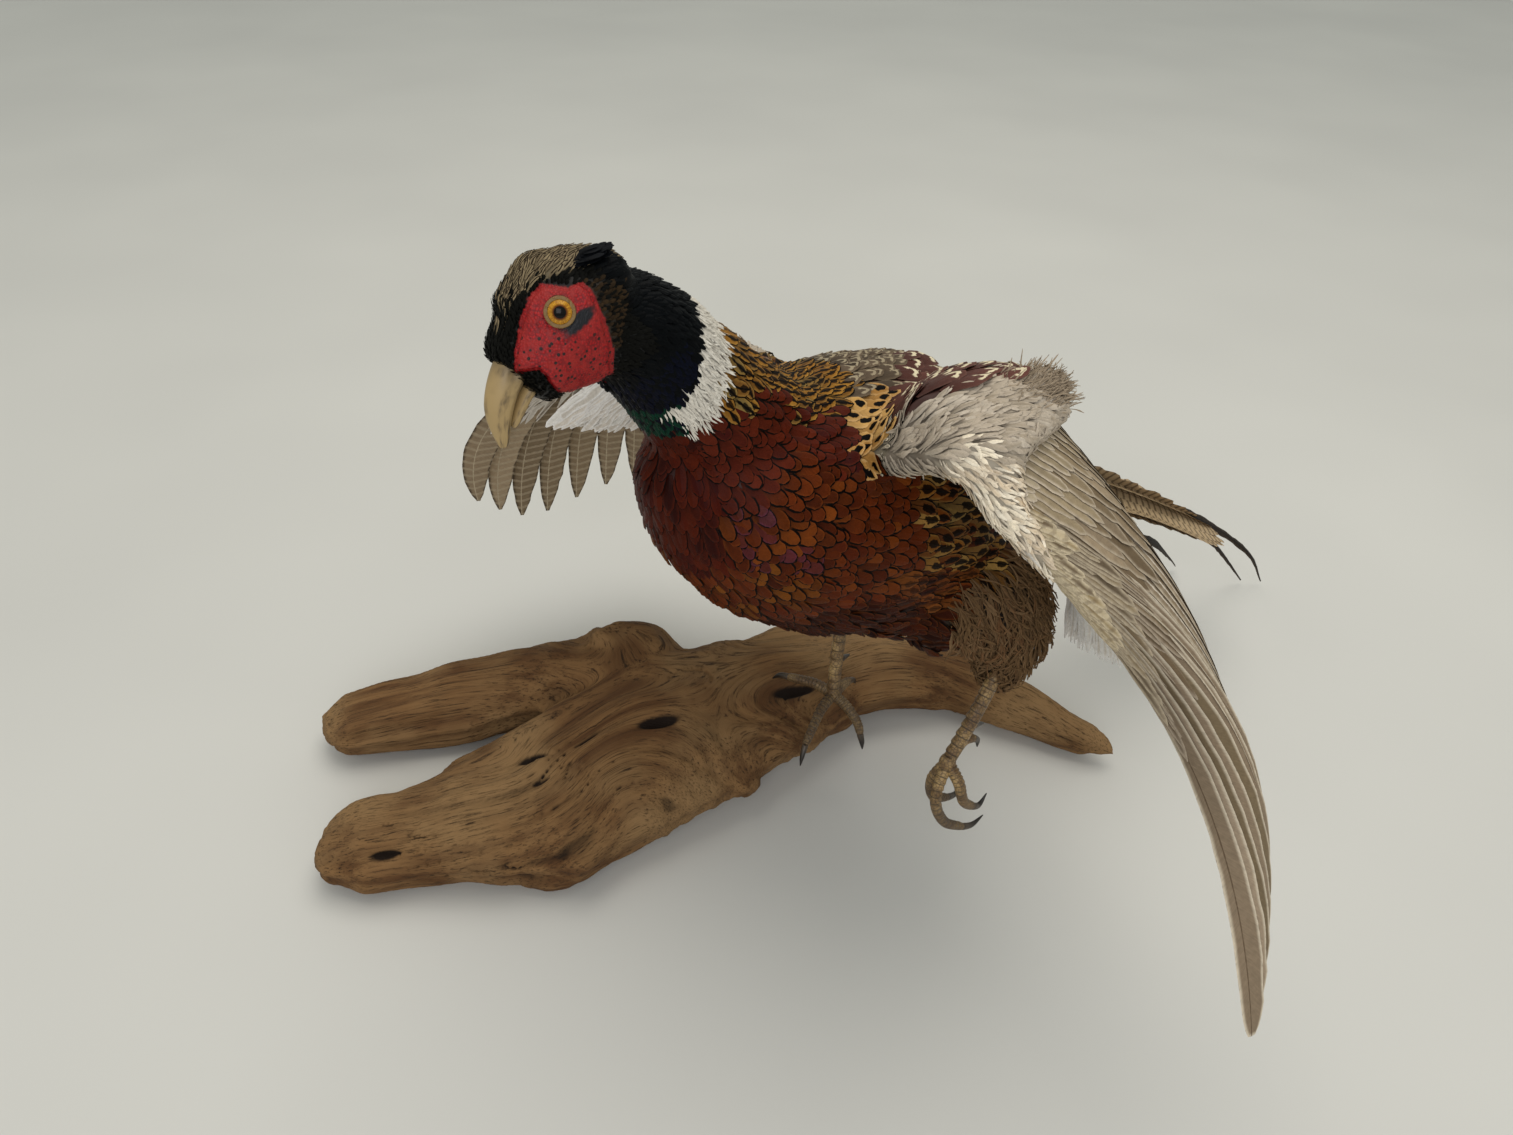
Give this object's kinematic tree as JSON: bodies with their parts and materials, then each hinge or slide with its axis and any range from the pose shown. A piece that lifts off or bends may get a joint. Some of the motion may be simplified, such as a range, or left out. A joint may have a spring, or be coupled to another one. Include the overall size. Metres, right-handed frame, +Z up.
{
  "type": "taxidermy pheasant on driftwood",
  "caption": "Life-size mounted cock pheasant, wings half spread and one foot raised, standing on a forked driftwood base.",
  "frame": {"origin": "middle of the footprint's bounding box, on the flat underside of the driftwood", "axes": "+X towards the bird's tail, +Y towards the bird's right side, +Z up"},
  "size_m": [0.6174, 0.485, 0.3595],
  "materials": {
    "head_plumage": "short black and brown feathers with a red velvety face patch",
    "neck_plumage": "glossy green-black feathers above a white ring",
    "body_plumage": "coppery chestnut feathers with black edges",
    "thigh_plumage": "loose brown downy feathers",
    "wing_coverts": "soft grey-brown coverts with cream mottling",
    "flight_feathers": "stiff grey-brown vanes with pale bars and shafts",
    "axillary_down": "long soft off-white feathers",
    "tail_feathers": "buff-brown vanes with dark bars and dark tips",
    "ear_tuft": "small black feather tuft",
    "leg_scales": "dry grey-brown horny scales",
    "claw_horn": "dark polished horn",
    "bill_horn": "pale tan horn, greyer at the base",
    "glass_eye": "polished glass with amber iris and dark pupil",
    "driftwood": "weathered brown wood with open grain"
  },
  "bodies": {
    "root": {"head": "head_plumage", "bill_upper": "bill_horn", "bill_lower": "bill_horn", "eye_left": "glass_eye", "eye_right": "glass_eye", "ear_tuft_left": "ear_tuft", "ear_tuft_right": "ear_tuft", "neck": "neck_plumage", "trunk": "body_plumage", "thigh_left": "thigh_plumage", "thigh_right": "thigh_plumage", "foot_left": "leg_scales", "foot_right": "leg_scales", "claw_left_1": "claw_horn", "claw_left_2": "claw_horn", "claw_left_3": "claw_horn", "claw_left_4": "claw_horn", "spur_left": "claw_horn", "claw_right_1": "claw_horn", "claw_right_2": "claw_horn", "claw_right_3": "claw_horn", "claw_right_4": "claw_horn", "spur_right": "claw_horn", "wing_left_arm": "wing_coverts", "wing_left_secondaries": "flight_feathers", "wing_left_primaries": "flight_feathers", "wing_left_axillaries": "axillary_down", "wing_right_arm": "wing_coverts", "wing_right_secondaries": "flight_feathers", "wing_right_primaries": "flight_feathers", "wing_right_axillaries": "axillary_down", "tail": "tail_feathers", "driftwood": "driftwood"}
  },
  "joints": []
}
